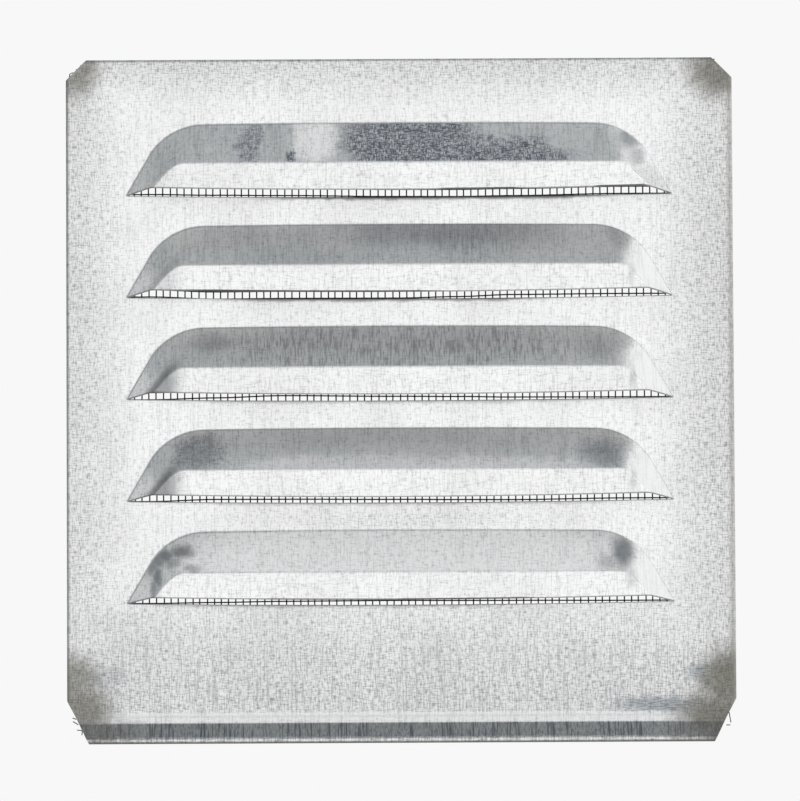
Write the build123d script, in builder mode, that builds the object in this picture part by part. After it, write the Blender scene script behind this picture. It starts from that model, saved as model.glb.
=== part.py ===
from build123d import *
import os
from math import atan, cos, floor, hypot, radians, sin, sqrt, tan

# A louvred ventilation grille in galvanised sheet, with a woven wire insect screen behind it.
# One sheet is pressed into outward louvre hoods, hemmed backwards on its four edges, and bent
# out along the bottom into a drip lip. The hems grip the edges of the screen.
# Millimetres, +Z up. The front faces -Y, and the backs of the hems lie on the wall at y = 0.
# The origin is on the middle of the top hem's back face.

# Sheet
sheet = 0.6
width = 200.0
height = 205.0
top_cut = 6.2
bottom_cut_run = 6.9
bottom_cut_rise = 12.9

# Hems
hem_return = 8.0
lip_return = 6.4
hem_clearance = 0.05

# Drip lip
lip_flat = 5.7
lip_angle = 40.0
lip_bend_radius = 4.6

# Louvres
louvre_pitch = 30.55
louvre_top_margin = 19.2
louvre_side_margin = 18.2
louvre_least_apron = 38.0
louvre_rise = 21.8
louvre_depth = 9.0
louvre_side_angle = 61.0
louvre_corner_radius = 20.0
louvre_crown = 0.5
panel_rise = 9.05
panel_inset = 6.0
panel_side_angle = 46.0
panel_corner_radius = 6.0
panel_crown = 0.1
foot_radius = 0.8
panel_edge_radius = 1.2
slit_sag = 0.7
mouth_rise = 1.95
mouth_sag = 1.1

# Woven wire screen
wire = 0.4
wire_pitch = 2.15
screen_core = 0.16
screen_overhang = 0.8
gap_columns = 6
gap_rows = 3
gaps_high = 3

# Values that follow from the sizes above
hem_gap = 2 * wire + 2 * hem_clearance
stack = 2 * sheet + hem_gap
hem_radius = stack / 2
half_width = width / 2
top_edge = hem_return / 2
bottom_edge = top_edge - height
screen_bend_radius = lip_bend_radius + hem_radius
lip_drop = lip_flat * cos(radians(lip_angle)) + screen_bend_radius * sin(radians(lip_angle))
bend_start = bottom_edge + hem_radius + lip_drop
screen_top = top_edge - hem_radius
screen_half = half_width - hem_radius
foot_half = half_width - louvre_side_margin
louvre_span = height - louvre_top_margin - louvre_rise - louvre_least_apron
louvre_count = 1 + floor(louvre_span / louvre_pitch)
first_slit = top_edge - louvre_top_margin - louvre_rise
slit_heights = [first_slit - row * louvre_pitch for row in range(louvre_count)]
ridge_radius = wire / sqrt(3)
weft_count = floor((screen_top - bend_start) / wire_pitch)
gap_width = gap_columns * wire_pitch
gap_height = gap_rows * wire_pitch
gap_count = floor(2 * (foot_half - panel_inset) / gap_width)
sill_depths = [screen_top - slit_height + slit_sag for slit_height in slit_heights]
sill_rows = [1 + floor(depth / wire_pitch) for depth in sill_depths]
through = 2 * (stack + louvre_depth + lip_flat)


def crosses_gap(row):
    """Whether a level wire, counted from the screen's top, would cross the gaps of a louvre."""
    rows_up = [sill - row for sill in sill_rows]
    return any(0 < up < gap_rows * gaps_high and up % gap_rows > 0 for up in rows_up)


def pressing_outline(plane, half_length, rise, side_angle, corner_radius, crown):
    """Outline of one louvre on a plane: a flat base, raked sides and an arched top."""
    shoulder = half_length - rise / tan(radians(side_angle))
    with BuildSketch(plane) as outline:
        with BuildLine():
            left = Line((-half_length, 0), (-shoulder, rise - crown))
            top = ThreePointArc(left @ 1, (0, rise), (shoulder, rise - crown))
            right = Line(top @ 1, (half_length, 0))
            Line(right @ 1, left @ 0)
        make_face()
        fillet(outline.vertices().group_by(Axis.Y)[-1], corner_radius)
    return outline.sketch


def pressed_form(base, inset_top, inset_side, foot_bend, panel_bend):
    """A louvre's raised form standing on a strip of flat sheet, with its bends rounded."""
    ground = Plane.XZ.offset(base)
    half = foot_half - inset_side
    rise = louvre_rise - inset_top
    panel_half = foot_half - panel_inset - inset_side
    foot = pressing_outline(
        ground, half, rise, louvre_side_angle, louvre_corner_radius, louvre_crown
    )
    panel = pressing_outline(
        ground.offset(louvre_depth),
        panel_half,
        panel_rise - inset_top,
        panel_side_angle,
        panel_corner_radius,
        panel_crown,
    )
    margin = 3 * foot_bend
    with BuildPart() as form:
        with BuildSketch(ground):
            Rectangle(2 * (half + margin), rise + margin, align=(Align.CENTER, Align.MIN))
        extrude(amount=-sheet)
        loft([foot, panel], ruled=True)
        fillet(form.edges().group_by(Axis.Y)[0].sort_by(Axis.Z)[1:], panel_bend)
        fillet(form.edges().filter_by(lambda edge: edge.is_interior), foot_bend)
    return form.part


def corner_cuts(overhang):
    """The four cut corners, as triangles moved outwards by an overhang."""
    with BuildSketch(Plane.XZ) as corners:
        for edge, run, rise in (
            (top_edge, top_cut, -top_cut),
            (bottom_edge, bottom_cut_run, bottom_cut_rise),
        ):
            left = 1 - overhang * hypot(run, rise) / abs(run * rise)
            with BuildLine():
                Polyline(
                    (half_width - left * run, edge),
                    (half_width, edge),
                    (half_width, edge + left * rise),
                    close=True,
                )
            make_face()
        mirror(about=Plane.YZ)
    return corners.sketch


# The outside and the hollow of one louvre, drawn a sheet apart
slope = atan(louvre_depth / (louvre_rise - panel_rise))
cheek = atan(louvre_depth / (panel_inset * sin(radians(louvre_side_angle))))
hood_form = pressed_form(stack, 0, 0, foot_radius, panel_edge_radius)
hollow_form = pressed_form(
    stack - sheet,
    sheet * tan(slope / 2),
    sheet * tan(cheek / 2),
    foot_radius + sheet,
    max(panel_edge_radius - sheet, sheet / 2),
)

# The slit below each louvre, and the mouth that slants from it up to the hood's lower edge,
# both sagging between the louvre's tips
with BuildPart() as mouth_form:
    with BuildSketch(Plane.XZ.offset(stack)):
        with BuildLine():
            slit = ThreePointArc((-foot_half, 0), (0, -slit_sag), (foot_half, 0))
            Line(slit @ 1, slit @ 0)
        make_face()
    extrude(amount=-sheet)
    reach = foot_half + foot_radius
    under = -2 * (mouth_rise + mouth_sag)
    for share in (0, 2):
        end = share * mouth_rise
        middle = end - slit_sag - share * (mouth_sag - slit_sag)
        with BuildSketch(Plane.XZ.offset(stack + share * louvre_depth)):
            with BuildLine():
                lip = ThreePointArc((-reach, end), (0, middle), (reach, end))
                Polyline(lip @ 1, (reach, under), (-reach, under), lip @ 0)
            make_face()
    loft(ruled=True)

blank_corners = corner_cuts(0)
with BuildPart() as grille_plate:
    # Top hem, face, drip lip and the lip's hem, folded in one section
    with BuildSketch(Plane.YZ):
        with BuildLine():
            top_back = Line(
                (-sheet / 2, top_edge - hem_return), (-sheet / 2, top_edge - hem_radius)
            )
            top_bend = JernArc(top_back @ 1, top_back % 1, hem_radius - sheet / 2, 180)
            face = Line(top_bend @ 1, (sheet / 2 - stack, bend_start))
            lip_bend = JernArc(face @ 1, face % 1, lip_bend_radius + sheet / 2, -lip_angle)
            lip_face = Line(lip_bend @ 1, lip_bend @ 1 + (lip_bend % 1) * lip_flat)
            lip_hem = JernArc(lip_face @ 1, lip_face % 1, hem_radius - sheet / 2, 180)
            Line(lip_hem @ 1, lip_hem @ 1 + (lip_hem % 1) * (lip_return - hem_radius))
        trace(line_width=sheet)
    extrude(amount=screen_half, both=True)

    # Side hems
    side_top = top_edge - top_cut + hem_radius
    side_bottom = bottom_edge + bottom_cut_rise * (1 - hem_radius / bottom_cut_run)
    with BuildSketch(Plane.XY.offset(side_bottom)):
        with BuildLine():
            side_bend = JernArc(
                (half_width - hem_radius, sheet / 2 - stack), (1, 0), hem_radius - sheet / 2, 180
            )
            Line(side_bend @ 1, (half_width - hem_return, -sheet / 2))
        trace(line_width=sheet)
        mirror(about=Plane.YZ)
    extrude(amount=side_top - side_bottom)

    # Cut corners of the blank, straight through in front
    extrude(blank_corners, amount=through, both=True, mode=Mode.SUBTRACT)

    # The same cuts as they lie on the hems' returns, turned over by the fold
    with BuildSketch(Plane.XZ):
        with BuildLine():
            Polyline(
                (half_width, top_edge),
                (half_width - top_cut, top_edge),
                (half_width - top_cut - hem_return, top_edge - hem_return),
                (half_width - hem_return, top_edge - top_cut - hem_return),
                (half_width, top_edge - top_cut),
                close=True,
            )
        make_face()
        with BuildLine():
            Polyline(
                (half_width, bottom_edge + bottom_cut_rise),
                (half_width - hem_return, bottom_edge + bottom_cut_rise + hem_return),
                (half_width - hem_return, bottom_edge),
                (half_width, bottom_edge),
                close=True,
            )
        make_face()
        mirror(about=Plane.YZ)
    extrude(amount=hem_radius, mode=Mode.SUBTRACT)

    # Louvres
    with Locations(*[(0, 0, slit_height) for slit_height in slit_heights]):
        add(hood_form)
        add(hollow_form, mode=Mode.SUBTRACT)
        add(mouth_form.part, mode=Mode.SUBTRACT)

cloth_corners = corner_cuts(screen_overhang)
with BuildPart() as insect_screen:
    # The cloth's middle, thin down the face, and at full thickness where the lip's hem grips it
    with BuildSketch(Plane.YZ):
        with BuildLine():
            cloth_face = Line((-stack / 2, screen_top), (-stack / 2, bend_start))
        trace(line_width=screen_core)
        with BuildLine():
            cloth_bend = JernArc(cloth_face @ 1, cloth_face % 1, screen_bend_radius, -lip_angle)
            Line(cloth_bend @ 1, cloth_bend @ 1 + (cloth_bend % 1) * lip_flat)
        trace(line_width=2 * wire)
    extrude(amount=screen_half, both=True)

    # Upright wires on the front, beside the gaps
    with BuildSketch(Plane.XY.offset(bend_start)):
        with Locations((0, -stack / 2 - ridge_radius / 2)):
            with GridLocations(gap_width, 0, gap_count + 1, 1):
                RegularPolygon(ridge_radius, side_count=3, rotation=-90)
    extrude(amount=screen_top - bend_start)

    # Level wires on the back, above and below the gaps
    weft_plane = ridge_radius / 2 - stack / 2
    weft_rows = [row for row in range(1, weft_count + 1) if not crosses_gap(row)]
    with BuildSketch(Plane.YZ):
        with Locations(*[(weft_plane, screen_top - row * wire_pitch) for row in weft_rows]):
            RegularPolygon(ridge_radius, side_count=3)
    extrude(amount=screen_half, both=True)

    # Gaps in the mesh behind each louvre, up from just under its slit
    with BuildSketch(Plane.XZ):
        for sill in sill_rows:
            middle_row = sill - gap_rows * gaps_high / 2
            with Locations((0, screen_top - middle_row * wire_pitch)):
                with GridLocations(gap_width, gap_height, gap_count, gaps_high):
                    Rectangle(gap_width - wire, gap_height - wire)
    extrude(amount=stack, mode=Mode.SUBTRACT)

    # Corners, cut a little outside the sheet so that the wire ends show
    extrude(cloth_corners, amount=through, both=True, mode=Mode.SUBTRACT)

grille_plate.part.label = "grille_plate"
insect_screen.part.label = "insect_screen"
os.makedirs("parts", exist_ok=True)
export_step(grille_plate.part, "parts/grille_plate.step")
export_step(insect_screen.part, "parts/insect_screen.step")
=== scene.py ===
import math
import random

import bpy
from mathutils import Matrix, Vector


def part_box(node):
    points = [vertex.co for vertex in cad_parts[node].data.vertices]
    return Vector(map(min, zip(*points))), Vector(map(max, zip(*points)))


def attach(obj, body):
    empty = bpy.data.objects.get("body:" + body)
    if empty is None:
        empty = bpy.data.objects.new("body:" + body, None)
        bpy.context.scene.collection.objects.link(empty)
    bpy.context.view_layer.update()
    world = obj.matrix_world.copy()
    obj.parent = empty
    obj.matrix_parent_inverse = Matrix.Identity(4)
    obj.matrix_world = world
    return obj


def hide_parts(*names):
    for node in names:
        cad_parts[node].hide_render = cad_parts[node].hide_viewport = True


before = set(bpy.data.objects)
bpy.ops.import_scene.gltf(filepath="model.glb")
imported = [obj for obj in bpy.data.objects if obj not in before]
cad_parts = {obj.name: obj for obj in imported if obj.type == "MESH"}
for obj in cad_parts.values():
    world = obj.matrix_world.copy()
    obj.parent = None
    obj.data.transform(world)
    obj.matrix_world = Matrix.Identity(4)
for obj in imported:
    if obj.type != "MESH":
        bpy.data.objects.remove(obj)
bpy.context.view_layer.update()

# Metres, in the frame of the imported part: +Z up, the front faces -Y, the wall is at y = 0.
MM = 0.001
plate_low, plate_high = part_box("grille_plate")
screen_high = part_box("insect_screen")[1]

# Sheet and its cut corners
HALF_WIDTH = plate_high.x
TOP_EDGE = plate_high.z
BOTTOM_EDGE = plate_low.z
TOP_CUT = 6.2 * MM
BOTTOM_CUT_RUN = 6.9 * MM
BOTTOM_CUT_RISE = 12.9 * MM
HEM_RADIUS = 1.05 * MM
FACE = 2 * HEM_RADIUS

# Louvres
LOUVRE_COUNT = 5
LOUVRE_PITCH = 30.55 * MM
LOUVRE_RISE = 21.8 * MM
LOUVRE_DEPTH = 9.0 * MM
MOUTH_RISE = 1.95 * MM
MOUTH_SAG = 1.1 * MM
FIRST_SLIT = -37.0 * MM
SLITS = [FIRST_SLIT - row * LOUVRE_PITCH for row in range(LOUVRE_COUNT)]
SLIT_HALF = 81.8 * MM
SLIT_SAG = 0.7 * MM

# Drip lip
LIP_ANGLE = math.radians(40)
LIP_BEND_RADIUS = 5.65 * MM
LIP_FLAT = 5.7 * MM
LIP_DROP = LIP_FLAT * math.cos(LIP_ANGLE) + LIP_BEND_RADIUS * math.sin(LIP_ANGLE)
BEND_START = BOTTOM_EDGE + HEM_RADIUS + LIP_DROP

# Woven screen
WIRE = 0.45 * MM
WIRE_SIDES = 5
FRAYED_WIRE = 0.3 * MM
SCREEN_PLANE = -HEM_RADIUS
WARP_PITCH = 2.15 * MM
WEFT_PITCH = 2.163 * MM
FIRST_WEFT = 1.71 * MM
WAVE = 0.1 * MM
WAVE_LENGTH = 70.0 * MM
WEAVE_SEED = 7
# How far the level wires lie above their straight lines, at seven places across each slit, in mm
DRIFT_PLACES = (-75, -55, -36, 0, 17, 34, 67)
WEFT_DRIFT = (
    (1.15, 0.86, 0.65, 0.2, 0.1, 0.3, 0.8),
    (0.65, -0.1, 0.0, -0.05, 0.3, 0.85, 1.0),
    (0.05, 0.55, 1.1, 0.75, 0.6, 0.35, 0.25),
    (-0.15, 0.4, 0.35, 0.15, 0.0, -0.1, 0.25),
    (-0.35, -0.15, 0.1, 0.2, 0.1, 0.05, -0.1),
)

# Camera
IMAGE_WIDTH = 800
VIEW_DISTANCE = 1.5
VIEW_BELOW = math.radians(2.5)
VIEW_ROLL = math.radians(-0.29)
METRES_PER_PIXEL = 0.2994 * MM
AIM = Vector((-0.08, -2.0, -98.8)) * MM
SENSOR = 36.0

# Floor and sky
FLOOR_DROP = 0.5
FLOOR_HALF = 0.8
FLOOR_PAINT = (0.85, 0.85, 0.84, 1)
SKY_IN_FRONT = (1.01, 1.01, 1.01)
SKY_BEHIND = (0.938, 0.938, 0.938)
SKY_SHADED = (0.41, 0.43, 0.44)
SKY_ON_THE_RIGHT = (1.3, 1.3, 1.3)

# Colours of the sheet
BARE_ZINC = (0.97, 0.975, 0.975, 1)
DULL_ZINC = (0.94, 0.94, 0.94, 1)
WORN_ZINC = (0.62, 0.62, 0.61)
# Near-white chalky zinc, for pale bloom and also as painted light on the louvre ends, right cheeks and
# lip bend
CHALKY_ZINC_AND_PAINTED_LIGHT = (0.99, 0.99, 0.99)
GRAIN = (0.55, 0.555, 0.56)
GRAIN_CROSSING = (0.2, 0.2, 0.2)
STREAK = (0.36, 0.37, 0.38)
SLOPE_SHADE = (0.12, 0.13, 0.14)
MOTTLE_GROUND = (0.15, 0.19, 0.29)
MOTTLE_DASH = (0.06, 0.08, 0.14)
DRAWN_LINE = (0.08, 0.09, 0.12)
# Grey for smudges, and for painted shade along the right creases and at louvre corners
SMUDGE_AND_SHADE_GREY = (0.16, 0.18, 0.20)
# Painted shade in the left creases of the louvres
CREASE_SHADE = (0.1, 0.11, 0.12)
# Painted shade along the foot of the pressed louvres
FOOT_SHADE = (0.15, 0.16, 0.17)
# Painted shadow under the slits
SHADOW_UNDER_SLIT = (0.06, 0.06, 0.06)
SLIT_EDGE_LINE = (0.03, 0.03, 0.03)
SMEAR = (0.24, 0.27, 0.30)
STAIN = (0.28, 0.275, 0.245)
STAIN_IN_GRAIN = (0.11, 0.10, 0.085)
# Painted shade on the drip lip's face, grey with darker streaks
LIP_SHADE = (0.50, 0.515, 0.52)
LIP_SHADE_STREAK = (0.15, 0.17, 0.19)
HEM_SHADE = (0.17, 0.165, 0.15)
SIDE_EDGE = (0.24, 0.235, 0.215)

# Colours of the wire
BARE_WIRE = (0.012, 0.012, 0.012, 1)
DULL_WIRE = (0.03, 0.03, 0.028, 1)

# Where bands on the sheet begin and where they are full: heights, and places across, in millimetres
BEND_TOP = (-191.4, -192.2)
BEND_FOOT = (-195.3, -194.8)
LIP_TOP = (-194.7, -195.1)
LIP_FOOT = (-199.3, -198.8)
HEM_TOP = (-200.2, -200.7)
TOP_WEAR = (-12, 4)
APRON_WEAR = (-134, -188)
LEFT_WEAR = (-76, -100)
RIGHT_WEAR = (70, 100)
LEFT_EDGE = (-98.8, -99.6)
RIGHT_EDGE = (97.5, 99.6)

# Painted light on the ends of each louvre, its lower left end and its right cheek: middle, from its
# slit upwards, and half size, in millimetres
LIT_LEFT_END = ((-77.5, 2), (9, 10))
LIT_RIGHT_CHEEK = ((79, 6), (13, 14))


def make_camera():
    """The camera looks at the plate from a little below its middle, and is turned a little."""
    ahead = Vector((0, math.cos(VIEW_BELOW), math.sin(VIEW_BELOW)))
    right = Vector((1, 0, 0))
    up = right.cross(ahead)
    turned_right = math.cos(VIEW_ROLL) * right + math.sin(VIEW_ROLL) * up
    turned_up = turned_right.cross(ahead)
    data = bpy.data.cameras.new("camera")
    data.sensor_fit = "HORIZONTAL"
    data.sensor_width = SENSOR
    data.lens = SENSOR * VIEW_DISTANCE / (IMAGE_WIDTH * METRES_PER_PIXEL)
    camera = bpy.data.objects.new("camera", data)
    turn = Matrix((turned_right, turned_up, -ahead)).transposed().to_4x4()
    camera.matrix_world = Matrix.Translation(AIM - VIEW_DISTANCE * ahead) @ turn
    bpy.context.scene.collection.objects.link(camera)
    bpy.context.scene.camera = camera


def add_node(tree, kind, inputs=None, **settings):
    """A node with its settings, and with each input either linked or set."""
    made = tree.nodes.new(kind)
    for name, value in settings.items():
        setattr(made, name, value)
    for key, value in (inputs or {}).items():
        if isinstance(value, bpy.types.NodeSocket):
            tree.links.new(value, made.inputs[key])
        else:
            made.inputs[key].default_value = value
    return made


def maths(tree, operation, first, second=0.0, clamp=False):
    """The result of a math node."""
    inputs = {0: first, 1: second}
    return add_node(tree, "ShaderNodeMath", inputs, operation=operation, use_clamp=clamp).outputs[0]


def vector_maths(tree, operation, first, second):
    """The result of a vector math node."""
    inputs = {0: first, 1: second}
    return add_node(tree, "ShaderNodeVectorMath", inputs, operation=operation).outputs[0]


def spread(tree, value, low, high, new_low=0.0, new_high=1.0):
    """A value brought smoothly from one range into another."""
    inputs = {"Value": value, "From Min": low, "From Max": high, "To Min": new_low, "To Max": new_high}
    made = add_node(tree, "ShaderNodeMapRange", inputs, interpolation_type="SMOOTHSTEP")
    return made.outputs["Result"]


def times(tree, *values):
    """The product of several values."""
    total = values[0]
    for value in values[1:]:
        total = maths(tree, "MULTIPLY", total, value)
    return total


def outside(tree, mask):
    """The opposite of a mask."""
    return maths(tree, "SUBTRACT", 1.0, mask)


def strongest(tree, *values):
    """The largest of several values."""
    total = values[0]
    for value in values[1:]:
        total = maths(tree, "MAXIMUM", total, value)
    return total


def blend(tree, share, first, second):
    """Two colours mixed by a share."""
    made = add_node(tree, "ShaderNodeMix", data_type="RGBA")
    for key, value in ((0, share), (6, first), (7, second)):
        if isinstance(value, bpy.types.NodeSocket):
            tree.links.new(value, made.inputs[key])
        else:
            made.inputs[key].default_value = value if key == 0 else (*value, 1)
    return made.outputs[2]


def new_group(name, inputs, outputs):
    """An empty shader group with named sockets. It gives the tree, what comes in and what goes out."""
    tree = bpy.data.node_groups.new(name, "ShaderNodeTree")
    for title, kind, value in inputs:
        socket = tree.interface.new_socket(title, in_out="INPUT", socket_type="NodeSocket" + kind)
        if value is not None:
            socket.default_value = value
    for title, kind in outputs:
        tree.interface.new_socket(title, in_out="OUTPUT", socket_type="NodeSocket" + kind)
    entry = tree.nodes.new("NodeGroupInput").outputs
    leave = tree.nodes.new("NodeGroupOutput").inputs
    return tree, entry, leave


def use_group(tree, group, **inputs):
    """One use of a shader group, with the words of its inputs joined by underscores."""
    named = {key.replace("_", " ").capitalize(): value for key, value in inputs.items()}
    return add_node(tree, "ShaderNodeGroup", named, node_tree=group).outputs


def soft_patch_group():
    """A soft oval on the front of the sheet. Its sizes are in millimetres."""
    tree, entry, leave = new_group(
        "soft_patch",
        [
            ("Place", "Vector", None),
            ("Centre", "Vector", None),
            ("Half size", "Vector", None),
            ("Softness", "Float", 0.6),
        ],
        [("Mask", "Float")],
    )
    away = vector_maths(tree, "SUBTRACT", entry["Place"], entry["Centre"])
    scaled = vector_maths(tree, "DIVIDE", away, entry["Half size"])
    flat = vector_maths(tree, "MULTIPLY", scaled, (1, 0, 1))
    far = add_node(tree, "ShaderNodeVectorMath", {0: flat}, operation="LENGTH").outputs["Value"]
    inner = maths(tree, "SUBTRACT", 1.0, entry["Softness"])
    tree.links.new(spread(tree, far, 1.0, inner), leave["Mask"])
    return tree


def cross_hatch_group():
    """Fine level and upright dashes, as rolled zinc shows them. Their sizes are in millimetres."""
    tree, entry, leave = new_group(
        "cross_hatch",
        [
            ("Place", "Vector", None),
            ("Dash length", "Float", 2.0),
            ("Dash width", "Float", 0.35),
            ("Amount", "Float", 0.0),
        ],
        [("Level", "Float"), ("Upright", "Float")],
    )
    x, y, z = add_node(tree, "ShaderNodeSeparateXYZ", {0: entry["Place"]}).outputs
    long_way = entry["Dash length"]
    short_way = entry["Dash width"]
    for title, across, down in (("Level", long_way, short_way), ("Upright", short_way, long_way)):
        inputs = {
            "X": maths(tree, "DIVIDE", x, across),
            "Y": maths(tree, "DIVIDE", y, long_way),
            "Z": maths(tree, "DIVIDE", z, down),
        }
        vector = add_node(tree, "ShaderNodeCombineXYZ", inputs).outputs[0]
        settings = {"Vector": vector, "Scale": 1.0, "Detail": 1.0, "Roughness": 0.5}
        noise = add_node(tree, "ShaderNodeTexNoise", settings).outputs["Fac"]
        raised = maths(tree, "ADD", noise, entry["Amount"])
        tree.links.new(spread(tree, raised, 0.48, 0.70), leave[title])
    return tree


def tarnish_group():
    """Cloudy dulling of a bare metal. The clouds' size is in millimetres."""
    tree, entry, leave = new_group(
        "tarnish",
        [
            ("Place", "Vector", None),
            ("Cloud size", "Float", 20.0),
            ("Bare", "Color", None),
            ("Dull", "Color", None),
        ],
        [("Colour", "Color"), ("Dullness", "Float")],
    )
    per_cloud = maths(tree, "DIVIDE", 1.0, entry["Cloud size"])
    settings = {"Vector": entry["Place"], "Scale": per_cloud, "Detail": 5.0}
    noise = add_node(tree, "ShaderNodeTexNoise", settings).outputs["Fac"]
    dull = spread(tree, noise, 0.35, 0.65)
    tree.links.new(blend(tree, dull, entry["Bare"], entry["Dull"]), leave["Colour"])
    tree.links.new(dull, leave["Dullness"])
    return tree


def slit_shadow_and_edge_group():
    """A soft painted shadow under a louvre's sagging slit, and a dark line along the slit's two edges,
    in millimetres.
    """
    tree, entry, leave = new_group(
        "slit_shadow_and_edge",
        [
            ("Place", "Vector", None),
            ("Slit height", "Float", 0.0),
            ("Middle", "Float", 0.0),
            ("Reach", "Float", 50.0),
            ("Width", "Float", 1.0),
            ("Edge width", "Float", 0.3),
        ],
        [("Mask", "Float"), ("Edge", "Float")],
    )
    x, y, z = add_node(tree, "ShaderNodeSeparateXYZ", {0: entry["Place"]}).outputs
    share = maths(tree, "DIVIDE", x, SLIT_HALF / MM)
    arch = maths(tree, "SUBTRACT", 1.0, times(tree, share, share))
    out = maths(tree, "DIVIDE", maths(tree, "SUBTRACT", -FACE / MM, y), LOUVRE_DEPTH / MM, clamp=True)
    lift = times(tree, out, MOUTH_RISE / MM)
    deepest = maths(tree, "ADD", SLIT_SAG / MM, times(tree, out, (MOUTH_SAG - SLIT_SAG) / MM))
    lifted = maths(tree, "ADD", entry["Slit height"], lift)
    edge = maths(tree, "SUBTRACT", lifted, times(tree, arch, deepest))
    off_edge = maths(tree, "ABSOLUTE", maths(tree, "SUBTRACT", z, edge))
    half_edge = times(tree, entry["Edge width"], 0.5)
    along = maths(tree, "ABSOLUTE", x)
    within = spread(tree, along, SLIT_HALF / MM + 0.2, SLIT_HALF / MM - 0.6)
    thin = spread(tree, off_edge, entry["Edge width"], half_edge)
    tree.links.new(times(tree, thin, within), leave["Edge"])
    # The painted shadow, below the sagging slit
    sag = times(tree, arch, SLIT_SAG / MM)
    below = maths(tree, "SUBTRACT", maths(tree, "SUBTRACT", entry["Slit height"], sag), z)
    settings = {"Vector": entry["Place"], "Scale": 0.2, "Detail": 4.0}
    noise = add_node(tree, "ShaderNodeTexNoise", settings).outputs["Fac"]
    width = times(tree, entry["Width"], spread(tree, noise, 0.3, 0.7, 0.7, 1.3))
    near = spread(tree, below, width, 0.1)
    under = spread(tree, below, -0.4, -0.1)
    off_middle = maths(tree, "ABSOLUTE", maths(tree, "SUBTRACT", x, entry["Middle"]))
    ends = spread(tree, off_middle, entry["Reach"], times(tree, entry["Reach"], 0.6))
    tree.links.new(times(tree, near, under, ends), leave["Mask"])
    return tree


# Marks on the sheet: middle and half size in x and z, in millimetres, and strength
CORNER_STAINS = (
    ((-97, 1), (11, 12), 0.8),
    ((96, 0), (14, 12), 0.9),
    ((-99, -182), (13, 12), 0.8),
    ((-96, -192), (15, 14), 0.9),
    ((98, -183), (14, 15), 1.0),
    ((95, -194), (19, 13), 1.0),
    ((-92, -197.5), (24, 5), 0.8),
    ((91, -197.5), (20, 5), 0.8),
)
GREY_HAZES = (
    ((0, -134.5), (78, 6), 0.45),
    ((-20, -185), (70, 5), 0.25),
)
GREY_SMEARS = (
    ((77, -190), (19, 3.4), 1.0),
    ((91, -180.5), (9, 5), 0.9),
    ((-88, -181), (8, 5), 0.5),
)
DARK_MOTTLES = (
    ((3, -22), (25, 16), 1.0),
    ((30, -27), (25, 8), 1.0),
    ((-44.5, -22), (5, 8), 0.7),
    ((-32.5, -26), (3, 2), 1.0),
    ((-60, -114), (9, 7), 0.5),
    ((60, -115), (9, 6), 0.3),
)
DARK_STREAKS = (
    ((23, -52), (17, 9), 0.33),
    ((-30, -52), (34, 9), 0.12),
    ((0, -83), (74, 10), 0.65),
    ((0, -114), (60, 7), 0.1),
)
# Smudges and painted shade: the narrow marks at x 69.2 and 68.5 are painted shade along the right
# creases of the lower four louvres, and the marks at the top right of the first louvre and at the top
# corners of the last are painted shade where their corners turn; the rest are smudges
SMUDGES_AND_PAINTED_SHADE = (
    ((69.5, -20), (5.5, 7), 0.7),
    ((71, -26), (4.5, 5), 0.5),
    ((75, -31), (6, 6), 0.15),
    ((69.2, -62), (1.6, 5.5), 0.22),
    ((69.2, -92.5), (1.6, 5.5), 0.28),
    ((69.2, -123), (1.6, 5.5), 0.28),
    ((-30, -57), (28, 5), 0.12),
    ((-57, -81), (9, 5), 0.25),
    ((60, -83), (10, 7), 0.2),
    ((-60, -114), (10, 8), 0.3),
    ((61, -115), (10, 6), 0.4),
    ((-65.5, -143.8), (6, 3.2), 0.8),
    ((-70.5, -145), (5, 3.5), 0.8),
    ((-74, -148), (3.5, 4), 0.6),
    ((-68, -147), (4, 3), 0.5),
    ((-72.5, -146.5), (4, 3.5), 0.7),
    ((-62, -148.8), (4, 1.8), 0.5),
    ((-72.6, -151), (2, 5), 0.7),
    ((-73.6, -155), (1.8, 5), 0.6),
    ((66.2, -144.5), (5.5, 7.5), 0.85),
    ((61.5, -147.5), (4.5, 3.5), 0.4),
    ((68.5, -152), (2.5, 5), 0.3),
)
PALE_BLOOMS = (
    ((-25, -20), (9, 11), 0.65),
    ((0, -146), (92, 19), 1.0),
    ((-15, -119), (45, 5), 0.3),
    ((25, -119), (40, 4), 0.3),
)
# By louvre, from the top: how dark its slope is, how dark the painted shade in its left crease is, and
# how strong the painted light on its left end and right cheek is
LOUVRE_TONES = (
    (0.0, 0.1, 0.3, 0.0),
    (0.03, 0.25, 0.6, 1.0),
    (0.05, 0.65, 0.7, 1.0),
    (0.0, 0.7, 0.8, 1.0),
    (0.0, 0.0, 0.8, 1.0),
)
# Middle, reach and strength of the painted shadow under each slit
SLIT_SHADOWS = ((12, 62, 0.9), (-5, 58, 0.75), (0, 80, 0.4), (0, 80, 0.35), (-20, 60, 0.4))
# Where the lower edge of a louvre is darkest
DARK_LIPS = (
    ((24, -36.1), (14, 2), 0.9),
    ((66, -35.6), (9, 2), 0.9),
    ((-28, -66.6), (46, 2), 1.0),
    ((-20, -157.8), (24, 2), 0.5),
    ((18, -157.8), (24, 2), 0.8),
)
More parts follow.
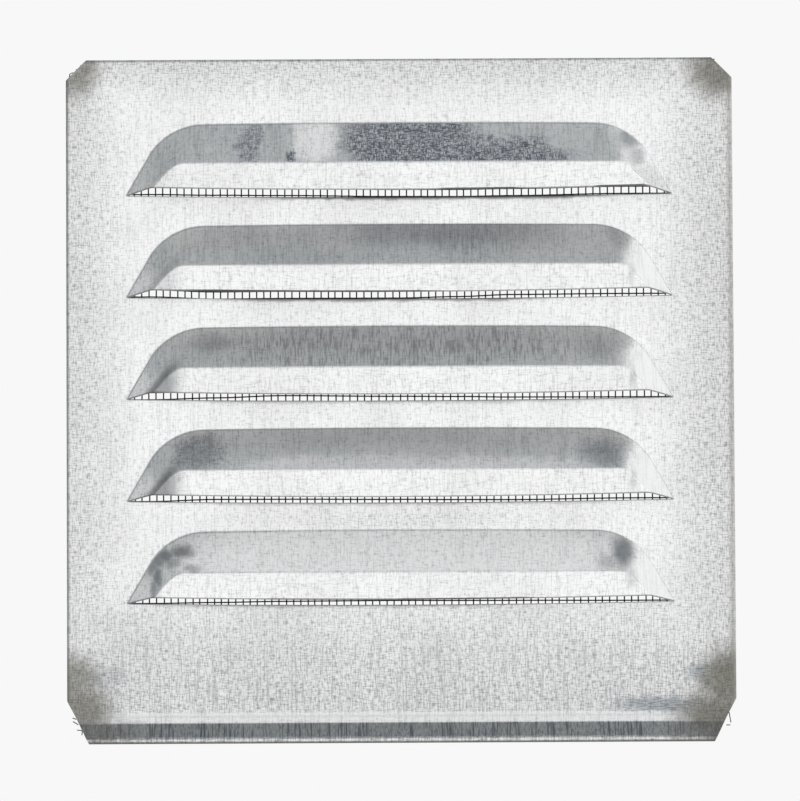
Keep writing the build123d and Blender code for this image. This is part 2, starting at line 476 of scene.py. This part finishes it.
# Loose wire ends at the cut corners: points across and down the cloth from its top edge, in millimetres
FRAYED_ENDS = (
    ((-99.1, 5.2), (-98.8, 3.1), (-98.1, 2.7), (-96.8, 2.8)),
    ((-96.9, 1.6), (-96.6, 2.5)),
    ((91.8, -1.0), (92.1, 0.4)),
    ((93.5, -0.3), (95.0, -0.5)),
    ((-98.4, 196.2), (-97.2, 196.6)),
    ((-98.2, 197.3), (-96.6, 198.4)),
    ((-96.9, 200.4), (-94.3, 200.8)),
    ((-95.3, 199.8), (-95.4, 202.3)),
    ((97.7, 195.1), (98.2, 198.7)),
    ((96.8, 199.7), (98.0, 199.7)),
)


def add_patches(tree, group, place, marks, softness):
    """The strongest of several marks at each place."""
    masks = []
    for (x, z), (half_x, half_z), strength in marks:
        mask = use_group(
            tree,
            group,
            place=place,
            centre=(x, 0, z),
            half_size=(half_x, 1, half_z),
            softness=softness,
        )["Mask"]
        masks.append(times(tree, mask, strength))
    return strongest(tree, *masks)


def in_millimetres(tree):
    """The place on a piece, in millimetres."""
    metres = add_node(tree, "ShaderNodeTexCoord").outputs["Object"]
    return vector_maths(tree, "MULTIPLY", metres, (1 / MM, 1 / MM, 1 / MM))


def torn(tree, place, size, reach):
    """The place moved about a little, so that what is drawn there has a ragged edge."""
    settings = {"Vector": place, "Scale": 1 / size, "Detail": 5.0, "Roughness": 0.7}
    noise = add_node(tree, "ShaderNodeTexNoise", settings).outputs["Color"]
    offset = vector_maths(tree, "SUBTRACT", noise, (0.5, 0.5, 0.5))
    moved = vector_maths(tree, "MULTIPLY", offset, (reach, reach, reach))
    return vector_maths(tree, "ADD", place, moved)


def sheet_metal(patch, hatch, tarnish, slit_shadow_and_edge):
    """Galvanised sheet: pale rolled zinc, bluish where the press drew it, stained at its corners, with
    painted light on the louvre ends, right cheeks and lip bend, and painted shade in creases, at louvre
    corners, under the slits and on the lip.
    """
    paint = bpy.data.materials.new("galvanised_sheet")
    paint.use_nodes = True
    tree = paint.node_tree
    shader = tree.nodes["Principled BSDF"]
    place = in_millimetres(tree)
    ragged = torn(tree, place, 3.0, 7.0)
    smeared = torn(tree, place, 4.0, 2.5)
    torn_wide = torn(tree, place, 7.0, 16.0)
    x, y, z = add_node(tree, "ShaderNodeSeparateXYZ", {0: place}).outputs
    rise = maths(tree, "SUBTRACT", -FACE / MM, y)

    # The pressed slopes, the painted light on the louvre ends, right cheeks and lip bend, and the
    # painted shade along their foot
    on_face = spread(tree, rise, 0.5, 0.2)
    above_lip = spread(tree, z, BEND_START / MM - 2, BEND_START / MM)
    off_face = times(tree, spread(tree, rise, 0.1, 0.5), above_lip)
    slopes = times(tree, off_face, spread(tree, rise, 8.95, 8.6))
    lit_left_end_marks = []
    lit_right_cheek_marks = []
    for slit, (_, _, left_end_light, right_cheek_light) in zip(SLITS, LOUVRE_TONES):
        for marks, mark, strength in (
            (lit_left_end_marks, LIT_LEFT_END, left_end_light),
            (lit_right_cheek_marks, LIT_RIGHT_CHEEK, right_cheek_light),
        ):
            (across, up), half_size = mark
            marks.append(((across, slit / MM + up), half_size, strength))
    # Painted light: the right cheeks and lower left ends of the louvres are turned towards chalky white
    lit_right_cheeks = add_patches(tree, patch, place, lit_right_cheek_marks, 0.4)
    blooms = add_patches(tree, patch, ragged, PALE_BLOOMS, 0.5)
    bloom_and_painted_light = strongest(tree, blooms, add_patches(tree, patch, place, lit_left_end_marks, 0.8), lit_right_cheeks)
    # Painted shade: a thin dark line along the concave foot of each louvre
    foot_shade = times(tree, spread(tree, rise, 0.02, 0.15), on_face, above_lip)
    foot_shade = times(tree, foot_shade, outside(tree, blooms))
    # Painted highlight: a pale, chalky band along the bend above the drip lip
    lit_bend = times(tree, spread(tree, z, *BEND_TOP), spread(tree, z, *BEND_FOOT))

    # Wear that grows towards the edges
    left_wear = times(tree, spread(tree, x, *LEFT_WEAR), 0.85)
    right_wear = spread(tree, x, *RIGHT_WEAR)
    top_wear = times(tree, spread(tree, z, *TOP_WEAR), 0.9)
    flats = strongest(tree, on_face, outside(tree, above_lip))
    apron_wear = times(tree, spread(tree, z, *APRON_WEAR), outside(tree, lit_bend), flats)
    hazes = times(tree, add_patches(tree, patch, smeared, GREY_HAZES, 0.9), on_face)
    wear = strongest(tree, left_wear, right_wear, top_wear, apron_wear, hazes)

    # Rolled grain
    pale = strongest(tree, times(tree, bloom_and_painted_light, slopes), lit_bend)
    denser = times(tree, wear, 0.05)
    fine = use_group(tree, hatch, place=place, dash_length=2.1, dash_width=0.4, amount=denser)
    streaks = use_group(tree, hatch, place=place, dash_length=10.0, dash_width=0.5)
    grain = strongest(tree, times(tree, fine["Level"], 0.9), fine["Upright"])
    crossings = times(tree, fine["Level"], fine["Upright"])
    clouds = use_group(tree, tarnish, place=place, cloud_size=26.0, bare=BARE_ZINC, dull=DULL_ZINC)
    colour = blend(tree, times(tree, wear, 0.4), clouds["Colour"], WORN_ZINC)
    # Pale bloom, and painted light on the louvre ends, right cheeks and lip bend, mixed towards chalky
    # white
    colour = blend(tree, times(tree, pale, 0.9), colour, CHALKY_ZINC_AND_PAINTED_LIGHT)
    # Less grain where light is painted on the right cheeks and the lip's bend
    painted_highlights = strongest(tree, times(tree, lit_right_cheeks, slopes), times(tree, lit_bend, 0.3))
    grain_share = maths(tree, "ADD", 0.42, times(tree, wear, 0.46))
    grain_share = times(tree, grain_share, outside(tree, times(tree, painted_highlights, 0.8)))
    colour = blend(tree, times(tree, grain, grain_share), colour, GRAIN)
    colour = blend(tree, times(tree, crossings, grain_share, 0.8), colour, GRAIN_CROSSING)
    fainter_where_pale = maths(tree, "SUBTRACT", 0.3, times(tree, pale, 0.2))
    slope_streaks = times(tree, slopes, spread(tree, x, 70, 62), fainter_where_pale)
    streak_share = strongest(tree, times(tree, apron_wear, 0.5), slope_streaks, 0.18)
    colour = blend(tree, times(tree, streaks["Upright"], streak_share), colour, STREAK)

    # Slopes, louvre by louvre
    tones = []
    crease_shades = []
    head = LOUVRE_RISE / MM
    for slit, (darkening, crease, _, _) in zip(SLITS, LOUVRE_TONES):
        up = maths(tree, "SUBTRACT", z, slit / MM)
        band = times(tree, spread(tree, up, 7.5, 9.5), spread(tree, up, head + 2, head))
        tones.append(times(tree, band, darkening))
        crease_shades.append(times(tree, spread(tree, up, 0, 1), spread(tree, up, head, head - 4), crease))
    along = maths(tree, "ABSOLUTE", x)
    tone = times(tree, strongest(tree, *tones), slopes, spread(tree, along, 74, 60))
    colour = blend(tree, tone, colour, SLOPE_SHADE)
    mottle = use_group(tree, hatch, place=place, dash_length=1.6, dash_width=0.33, amount=0.05)
    drawn = times(tree, add_patches(tree, patch, torn_wide, DARK_MOTTLES, 0.4), slopes)
    dashes = times(tree, drawn, strongest(tree, mottle["Level"], mottle["Upright"]))
    colour = blend(tree, times(tree, drawn, 0.1), colour, MOTTLE_GROUND)
    colour = blend(tree, times(tree, dashes, 0.8), colour, MOTTLE_DASH)
    drawn_lines = use_group(tree, hatch, place=place, dash_length=4.5, dash_width=0.5, amount=0.03)
    streaked = times(tree, add_patches(tree, patch, torn_wide, DARK_STREAKS, 0.5), slopes)
    upright = maths(tree, "ADD", 0.12, times(tree, drawn_lines["Upright"], 0.6))
    colour = blend(tree, times(tree, streaked, upright), colour, DRAWN_LINE)
    # Smudges, and painted shade along the right creases and at louvre corners
    smudges_and_painted_shade = times(tree, add_patches(tree, patch, smeared, SMUDGES_AND_PAINTED_SHADE, 0.8), off_face)
    colour = blend(tree, smudges_and_painted_shade, colour, SMUDGE_AND_SHADE_GREY)
    # Painted shade in each louvre's left crease, by its strength in LOUVRE_TONES
    left_crease_shade = times(tree, off_face, spread(tree, rise, 5.0, 8.8), spread(tree, x, -63, -70))
    colour = blend(tree, times(tree, left_crease_shade, strongest(tree, *crease_shades)), colour, CREASE_SHADE)
    # Painted shade along the foot of the louvres
    colour = blend(tree, times(tree, foot_shade, 0.35), colour, FOOT_SHADE)

    # Painted shadows under the slits, dark lines along their edges, smears and stained corners
    dark_lips = times(tree, add_patches(tree, patch, place, DARK_LIPS, 0.3), off_face)
    edge_width = maths(tree, "ADD", 0.32, times(tree, dark_lips, 0.2))
    lines = []
    edges = []
    for slit, (middle, reach, strength) in zip(SLITS, SLIT_SHADOWS):
        sizes = {"slit_height": slit / MM, "middle": middle, "reach": reach, "width": 1.3}
        line = use_group(tree, slit_shadow_and_edge, place=place, edge_width=edge_width, **sizes)
        lines.append(times(tree, line["Mask"], strength))
        edges.append(line["Edge"])
    # Painted shadow: a soft dark line on the sheet just under each slit
    colour = blend(tree, times(tree, strongest(tree, *lines), on_face), colour, SHADOW_UNDER_SLIT)
    edge_share = maths(tree, "ADD", 0.62, times(tree, dark_lips, 0.33))
    colour = blend(tree, times(tree, strongest(tree, *edges), edge_share), colour, SLIT_EDGE_LINE)
    smears = add_patches(tree, patch, ragged, GREY_SMEARS, 0.7)
    smears = times(tree, smears, spread(tree, fine["Level"], 0.0, 1.0, 0.6, 1.0))
    colour = blend(tree, smears, colour, SMEAR)
    corners = add_patches(tree, patch, ragged, CORNER_STAINS, 0.75)
    stain = blend(tree, times(tree, grain, 0.6), STAIN, STAIN_IN_GRAIN)
    colour = blend(tree, corners, colour, stain)

    # Painted shade on the lip and under its hem, and the outer edges
    # Painted shade: the drip lip's face is greyed, with darker streaks from the streak and mottle
    # patterns
    lip = times(tree, spread(tree, z, *LIP_TOP), spread(tree, z, *LIP_FOOT))
    lip_mark = strongest(tree, streaks["Upright"], times(tree, mottle["Upright"], 0.7))
    lip_shade_tone = blend(tree, lip_mark, LIP_SHADE, LIP_SHADE_STREAK)
    lip_shade_share = times(tree, lip, maths(tree, "SUBTRACT", 0.9, times(tree, corners, 0.7)))
    colour = blend(tree, lip_shade_share, colour, lip_shade_tone)
    hem_shade = spread(tree, z, *HEM_TOP)
    colour = blend(tree, times(tree, hem_shade, 0.8), colour, HEM_SHADE)
    side_edge = strongest(tree, spread(tree, x, *LEFT_EDGE), spread(tree, x, *RIGHT_EDGE))
    colour = blend(tree, times(tree, side_edge, 0.6), colour, SIDE_EDGE)
    tree.links.new(colour, shader.inputs["Base Color"])

    # Pale bloom and the painted light are chalky, the rest is bare metal
    rough = spread(tree, clouds["Dullness"], 0.0, 1.0, 0.30, 0.38)
    rough = maths(tree, "ADD", rough, times(tree, pale, 0.45))
    rough = maths(tree, "ADD", rough, times(tree, corners, 0.15), clamp=True)
    tree.links.new(rough, shader.inputs["Roughness"])
    metallic = maths(tree, "SUBTRACT", 1.0, times(tree, pale, 0.97), clamp=True)
    tree.links.new(metallic, shader.inputs["Metallic"])
    bump = add_node(tree, "ShaderNodeBump", {"Height": grain, "Strength": 0.1, "Distance": 0.05 * MM})
    tree.links.new(bump.outputs[0], shader.inputs["Normal"])
    return paint


def wire_metal(tarnish):
    """Dark drawn wire with a dull bloom."""
    paint = bpy.data.materials.new("screen_wire")
    paint.use_nodes = True
    tree = paint.node_tree
    shader = tree.nodes["Principled BSDF"]
    place = in_millimetres(tree)
    clouds = use_group(tree, tarnish, place=place, cloud_size=4.0, bare=BARE_WIRE, dull=DULL_WIRE)
    tree.links.new(clouds["Colour"], shader.inputs["Base Color"])
    rough = spread(tree, clouds["Dullness"], 0.0, 1.0, 0.6, 0.8)
    tree.links.new(rough, shader.inputs["Roughness"])
    shader.inputs["Metallic"].default_value = 0.2
    shader.inputs["Specular IOR Level"].default_value = 0.1
    return paint


def cloth_point(run):
    """Point and outward direction of the cloth's middle, at a distance down from its top edge."""
    face = screen_high.z - BEND_START
    if run <= face:
        return Vector((0, SCREEN_PLANE, screen_high.z - run)), Vector((0, -1, 0))
    angle = min((run - face) / LIP_BEND_RADIUS, LIP_ANGLE)
    centre = Vector((0, SCREEN_PLANE - LIP_BEND_RADIUS, BEND_START))
    outward = Vector((0, -math.cos(angle), math.sin(angle)))
    point = centre - LIP_BEND_RADIUS * outward
    rest = run - face - LIP_ANGLE * LIP_BEND_RADIUS
    if rest > 0:
        point += rest * Vector((0, -math.sin(LIP_ANGLE), -math.cos(LIP_ANGLE)))
    return point, outward


def reach_at_height(height):
    """Half the sheet's width at a height, with its corners cut."""
    over_top = max(0.0, height - (TOP_EDGE - TOP_CUT))
    under = max(0.0, BOTTOM_EDGE + BOTTOM_CUT_RISE - height)
    return HALF_WIDTH - over_top - under * BOTTOM_CUT_RUN / BOTTOM_CUT_RISE


def add_tube(vertices, faces, line, radius):
    """One wire along a line of points, with few sides and closed ends."""
    start = len(vertices)
    count = len(line)
    for index, point in enumerate(line):
        ahead = (line[min(index + 1, count - 1)] - line[max(index - 1, 0)]).normalized()
        side = ahead.cross(Vector((0, 1, 0)))
        if side.length < 0.1:
            side = ahead.cross(Vector((1, 0, 0)))
        side.normalize()
        other = ahead.cross(side)
        for step in range(WIRE_SIDES):
            turn = 2 * math.pi * step / WIRE_SIDES
            vertices.append(point + radius * (math.cos(turn) * side + math.sin(turn) * other))
    for index in range(count - 1):
        low = start + index * WIRE_SIDES
        for step in range(WIRE_SIDES):
            after = (step + 1) % WIRE_SIDES
            faces.append((low + step, low + after, low + WIRE_SIDES + after, low + WIRE_SIDES + step))
    faces.append(tuple(start + step for step in reversed(range(WIRE_SIDES))))
    last = start + (count - 1) * WIRE_SIDES
    faces.append(tuple(last + step for step in range(WIRE_SIDES)))


def wire_piece(name, lines, thickness, paint):
    """A piece made of many wires, which stands for the cloth's solid."""
    vertices = []
    faces = []
    for line in lines:
        add_tube(vertices, faces, line, thickness / 2)
    mesh = bpy.data.meshes.new(name)
    mesh.from_pydata(vertices, [], faces)
    mesh.polygons.foreach_set("use_smooth", [True] * len(mesh.polygons))
    mesh.materials.append(paint)
    piece = bpy.data.objects.new(name, mesh)
    bpy.context.scene.collection.objects.link(piece)
    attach(piece, "root")
    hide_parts("insect_screen")


def eased(share, first, second):
    """Between two values, level at both ends."""
    ease = 0.5 - 0.5 * math.cos(math.pi * min(max(share, 0.0), 1.0))
    return (1 - ease) * first + ease * second


def drift_across(drifts, place):
    """The drift at a place across one slit."""
    last = len(DRIFT_PLACES) - 2
    span = max([index for index in range(last + 1) if DRIFT_PLACES[index] <= place] or [0])
    left, right = DRIFT_PLACES[span], DRIFT_PLACES[span + 1]
    return eased((place - left) / (right - left), drifts[span], drifts[span + 1])


def weft_shift(place, height):
    """How far a level wire lies above its straight line, between the drifts at the slits."""
    step = min(max((FIRST_SLIT - height) / LOUVRE_PITCH, 0.0), LOUVRE_COUNT - 1.0)
    row = min(int(step), LOUVRE_COUNT - 2)
    above = drift_across(WEFT_DRIFT[row], place / MM)
    below = drift_across(WEFT_DRIFT[row + 1], place / MM)
    return eased(step - row, above, below) * MM


def weave():
    """The warp and weft wires, which pass over and under each other."""
    chance = random.Random(WEAVE_SEED)
    half = int((screen_high.x - WIRE) / WARP_PITCH)
    total = screen_high.z - BEND_START + LIP_ANGLE * LIP_BEND_RADIUS + LIP_FLAT
    rows = int((total - FIRST_WEFT) / WEFT_PITCH)
    warps = []
    for column in range(-half, half + 1):
        place = column * WARP_PITCH
        phase = chance.uniform(0, 2 * math.pi)
        line = []
        for step in range(2 * rows + 1):
            point, outward = cloth_point(FIRST_WEFT + step * WEFT_PITCH / 2)
            if abs(place) > reach_at_height(point.z):
                continue
            lift = 0.0
            if step % 2 == 0:
                lift = WIRE / 2 * (-1) ** (column + step // 2)
            wave = WAVE * math.sin(2 * math.pi * point.z / WAVE_LENGTH + phase)
            line.append(Vector((place + wave, 0, 0)) + point + lift * outward)
        if len(line) > 1:
            warps.append(line)
    wefts = []
    for row in range(rows + 1):
        point, outward = cloth_point(FIRST_WEFT + row * WEFT_PITCH)
        reach = min(screen_high.x, reach_at_height(point.z))
        line = []
        for step in range(-2 * half, 2 * half + 1):
            place = step * WARP_PITCH / 2
            if abs(place) > reach:
                continue
            lift = 0.0
            if step % 2 == 0:
                lift = -WIRE / 2 * (-1) ** (step // 2 + row)
            shift = 0.0
            if point.z > BEND_START:
                shift = weft_shift(place, point.z)
            line.append(Vector((place, 0, shift)) + point + lift * outward)
        wefts.append(line)
    return warps, wefts


def frayed_lines():
    """The loose wire ends, laid along the cloth."""
    lines = []
    for points in FRAYED_ENDS:
        lines.append([Vector((x * MM, 0, 0)) + cloth_point(run * MM)[0] for x, run in points])
    return lines


def make_world():
    """Bright all round, brightest on the right, dimmer and bluish overhead and to the left."""
    world = bpy.data.worlds.new("studio")
    bpy.context.scene.world = world
    world.use_nodes = True
    tree = world.node_tree
    tree.nodes.clear()
    place = add_node(tree, "ShaderNodeTexCoord").outputs["Generated"]
    x, y, z = add_node(tree, "ShaderNodeSeparateXYZ", {0: place}).outputs
    sky = blend(tree, spread(tree, y, -0.2, 0.2), SKY_IN_FRONT, SKY_BEHIND)
    shade = spread(tree, maths(tree, "SUBTRACT", z, times(tree, x, 0.75)), 0.35, 0.85)
    sky = blend(tree, shade, sky, SKY_SHADED)
    sky = blend(tree, spread(tree, x, 0.45, 0.85), sky, SKY_ON_THE_RIGHT)
    shine = add_node(tree, "ShaderNodeBackground", {"Color": sky})
    add_node(tree, "ShaderNodeOutputWorld", {0: shine.outputs[0]})


def make_floor():
    """A pale floor under the part, below the camera's view."""
    mesh = bpy.data.meshes.new("floor")
    height = BOTTOM_EDGE - FLOOR_DROP
    corners = ((-1, -1), (1, -1), (1, 1), (-1, 1))
    points = [(FLOOR_HALF * x, FLOOR_HALF * y, height) for x, y in corners]
    mesh.from_pydata(points, [], [(0, 1, 2, 3)])
    floor = bpy.data.objects.new("floor", mesh)
    bpy.context.scene.collection.objects.link(floor)
    paint = bpy.data.materials.new("floor_paint")
    paint.use_nodes = True
    shader = paint.node_tree.nodes["Principled BSDF"]
    shader.inputs["Base Color"].default_value = FLOOR_PAINT
    shader.inputs["Roughness"].default_value = 0.8
    mesh.materials.append(paint)


bpy.context.scene.view_settings.view_transform = "Standard"
make_camera()
make_world()
make_floor()

dulling = tarnish_group()
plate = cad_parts["grille_plate"]
plate.data.materials.clear()
sheet_paint = sheet_metal(soft_patch_group(), cross_hatch_group(), dulling, slit_shadow_and_edge_group())
plate.data.materials.append(sheet_paint)
warp_lines, weft_lines = weave()
wire_paint = wire_metal(dulling)
wire_piece("screen_warp", warp_lines, WIRE, wire_paint)
wire_piece("screen_weft", weft_lines, WIRE, wire_paint)
wire_piece("screen_frays", frayed_lines(), FRAYED_WIRE, wire_paint)
